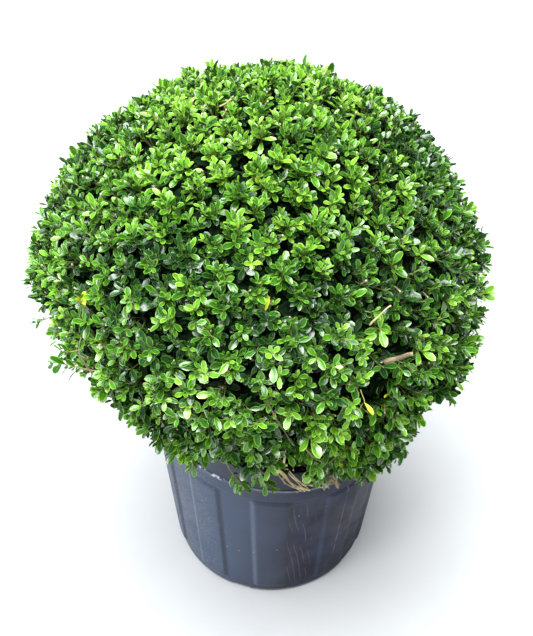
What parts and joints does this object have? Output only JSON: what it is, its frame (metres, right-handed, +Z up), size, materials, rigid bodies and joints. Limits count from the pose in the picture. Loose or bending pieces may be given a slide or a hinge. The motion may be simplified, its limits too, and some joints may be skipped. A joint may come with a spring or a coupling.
{
  "type": "potted japanese holly",
  "caption": "Evergreen shrub clipped to a dense ball of small glossy leaves, on a short branched trunk, growing in a ribbed black nursery pot.",
  "frame": {"origin": "middle of the pot's flat underside, which stands on the ground", "axes": "+Z up along the pot's axis; -Y towards the side that the picture shows; +X to its right"},
  "size_m": [0.5762, 0.5773, 0.8069],
  "materials": {
    "pot_plastic": "satin",
    "potting_mix": "matte",
    "bark": "matte",
    "foliage": "satin"
  },
  "bodies": {
    "root": {"pot": "pot_plastic", "potting_mix": "potting_mix", "trunk": "bark", "bough_crown": "bark", "bough_shoulder_1": "bark", "bough_shoulder_2": "bark", "bough_shoulder_3": "bark", "bough_shoulder_4": "bark", "bough_shoulder_5": "bark", "bough_shoulder_6": "bark", "bough_skirt_1": "bark", "bough_skirt_2": "bark", "bough_skirt_3": "bark", "bough_skirt_4": "bark", "bough_skirt_5": "bark", "bough_skirt_6": "bark", "foliage_crown": "foliage", "foliage_shoulder_1": "foliage", "foliage_shoulder_2": "foliage", "foliage_shoulder_3": "foliage", "foliage_shoulder_4": "foliage", "foliage_shoulder_5": "foliage", "foliage_shoulder_6": "foliage", "foliage_skirt_1": "foliage", "foliage_skirt_2": "foliage", "foliage_skirt_3": "foliage", "foliage_skirt_4": "foliage", "foliage_skirt_5": "foliage", "foliage_skirt_6": "foliage"}
  },
  "joints": []
}
